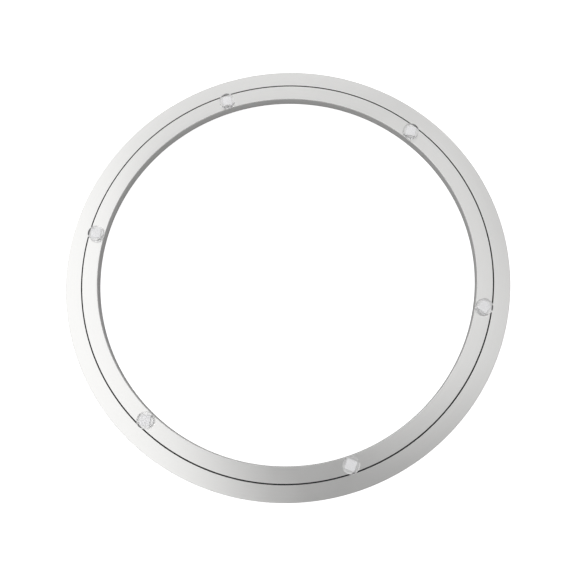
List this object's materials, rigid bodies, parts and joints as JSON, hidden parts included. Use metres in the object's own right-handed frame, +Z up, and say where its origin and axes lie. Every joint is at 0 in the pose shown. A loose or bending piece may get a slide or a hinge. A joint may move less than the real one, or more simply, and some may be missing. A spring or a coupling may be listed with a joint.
{
  "type": "lazy susan turntable",
  "caption": "Low ring-shaped swivel base: two concentric aluminium rings on a hidden ball race, clear round pads on the turning ring and matching feet under the fixed ring.",
  "frame": {"origin": "on the surface that the feet stand on, below the centre of the rings", "axes": "+Z up along the axis that the ring turns about; +X through foot_1; pad_2 is on +Y and the filler plug on -Y"},
  "size_m": [0.35, 0.35, 0.0153],
  "materials": {
    "ring_aluminium": "fine satin, turned and anodised clear",
    "pad_silicone": "clear and smooth, moulded round the core's square head",
    "core_plastic": "milky white, fine-grained, seen through the clear cap",
    "cage_nylon": "black nylon, moulded",
    "ball_steel": "polished bearing steel",
    "plug_steel": "plain stainless grub screw"
  },
  "bodies": {
    "base": {"outer_ring": "ring_aluminium", "filler_plug": "plug_steel", "foot_1": "pad_silicone", "foot_2": "pad_silicone", "foot_3": "pad_silicone", "foot_4": "pad_silicone", "foot_5": "pad_silicone", "foot_6": "pad_silicone", "foot_core_1": "core_plastic", "foot_core_2": "core_plastic", "foot_core_3": "core_plastic", "foot_core_4": "core_plastic", "foot_core_5": "core_plastic", "foot_core_6": "core_plastic"},
    "turntable": {"inner_ring": "ring_aluminium", "pad_1": "pad_silicone", "pad_2": "pad_silicone", "pad_3": "pad_silicone", "pad_4": "pad_silicone", "pad_5": "pad_silicone", "pad_6": "pad_silicone", "pad_core_1": "core_plastic", "pad_core_2": "core_plastic", "pad_core_3": "core_plastic", "pad_core_4": "core_plastic", "pad_core_5": "core_plastic", "pad_core_6": "core_plastic"},
    "cage": {"cage_segment_1": "cage_nylon", "cage_segment_2": "cage_nylon", "cage_segment_3": "cage_nylon", "cage_segment_4": "cage_nylon", "cage_segment_5": "cage_nylon", "cage_segment_6": "cage_nylon", "balls_1": "ball_steel", "balls_2": "ball_steel", "balls_3": "ball_steel", "balls_4": "ball_steel", "balls_5": "ball_steel", "balls_6": "ball_steel"}
  },
  "joints": [
    {"name": "turntable_spin", "type": "hinge", "parent": "base", "child": "turntable", "pos_m": [0, 0, 0.00765], "axis": [0, 0, 1], "continuous": true},
    {"name": "cage_spin", "type": "hinge", "parent": "base", "child": "cage", "pos_m": [0, 0, 0.00765], "axis": [0, 0, 1], "continuous": true}
  ],
  "couplings": [
    {"joint": "cage_spin", "follows": "turntable_spin", "ratio": 0.4939}
  ]
}
